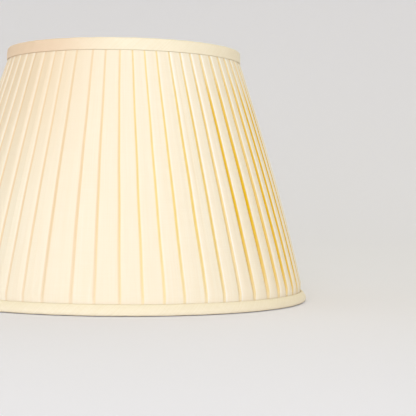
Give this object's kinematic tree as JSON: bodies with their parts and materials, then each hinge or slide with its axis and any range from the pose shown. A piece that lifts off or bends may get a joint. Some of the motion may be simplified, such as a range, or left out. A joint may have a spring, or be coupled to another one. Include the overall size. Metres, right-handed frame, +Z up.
{
  "type": "lamp shade",
  "caption": "Tapered round lamp shade: box-pleated cloth cover and lining on a wire frame, bound rims, and a dropped spider with a fitter ring and a loose reducer ring.",
  "frame": {"origin": "centre of the lower rim, in the plane that the shade stands on", "axes": "+Z up along the shade's axis; the spider's arms lie midway between the X and Y axes"},
  "size_m": [0.4496, 0.4496, 0.3],
  "materials": {
    "cover_cloth": "cream pleated cotton, fine slub weave, soft sheen",
    "binding_cloth": "the cover's cloth cut on the bias and folded over the rim",
    "lining_cloth": "smooth off-white lining cloth",
    "frame_wire": "white coated steel wire",
    "fitter_steel": "white coated pressed steel",
    "reducer_plastic": "white moulded plastic, satin"
  },
  "bodies": {
    "shade": {"top_ring": "frame_wire", "bottom_ring": "frame_wire", "strut_1": "frame_wire", "strut_2": "frame_wire", "strut_3": "frame_wire", "strut_4": "frame_wire", "strut_5": "frame_wire", "strut_6": "frame_wire", "strut_7": "frame_wire", "strut_8": "frame_wire", "spider_arm_1": "frame_wire", "spider_arm_2": "frame_wire", "spider_arm_3": "frame_wire", "spider_arm_4": "frame_wire", "fitter_ring": "fitter_steel", "pleated_cover": "cover_cloth", "top_binding": "binding_cloth", "bottom_binding": "binding_cloth", "lining": "lining_cloth", "gimbal_patch_1": "lining_cloth", "gimbal_patch_2": "lining_cloth", "gimbal_patch_3": "lining_cloth", "gimbal_patch_4": "lining_cloth"},
    "reducer": {"reducer_ring": "reducer_plastic"}
  },
  "joints": [
    {"name": "reducer_lift", "type": "slide", "parent": "shade", "child": "reducer", "axis": [0, 0, 1], "range_m": [0, 0.06]}
  ]
}
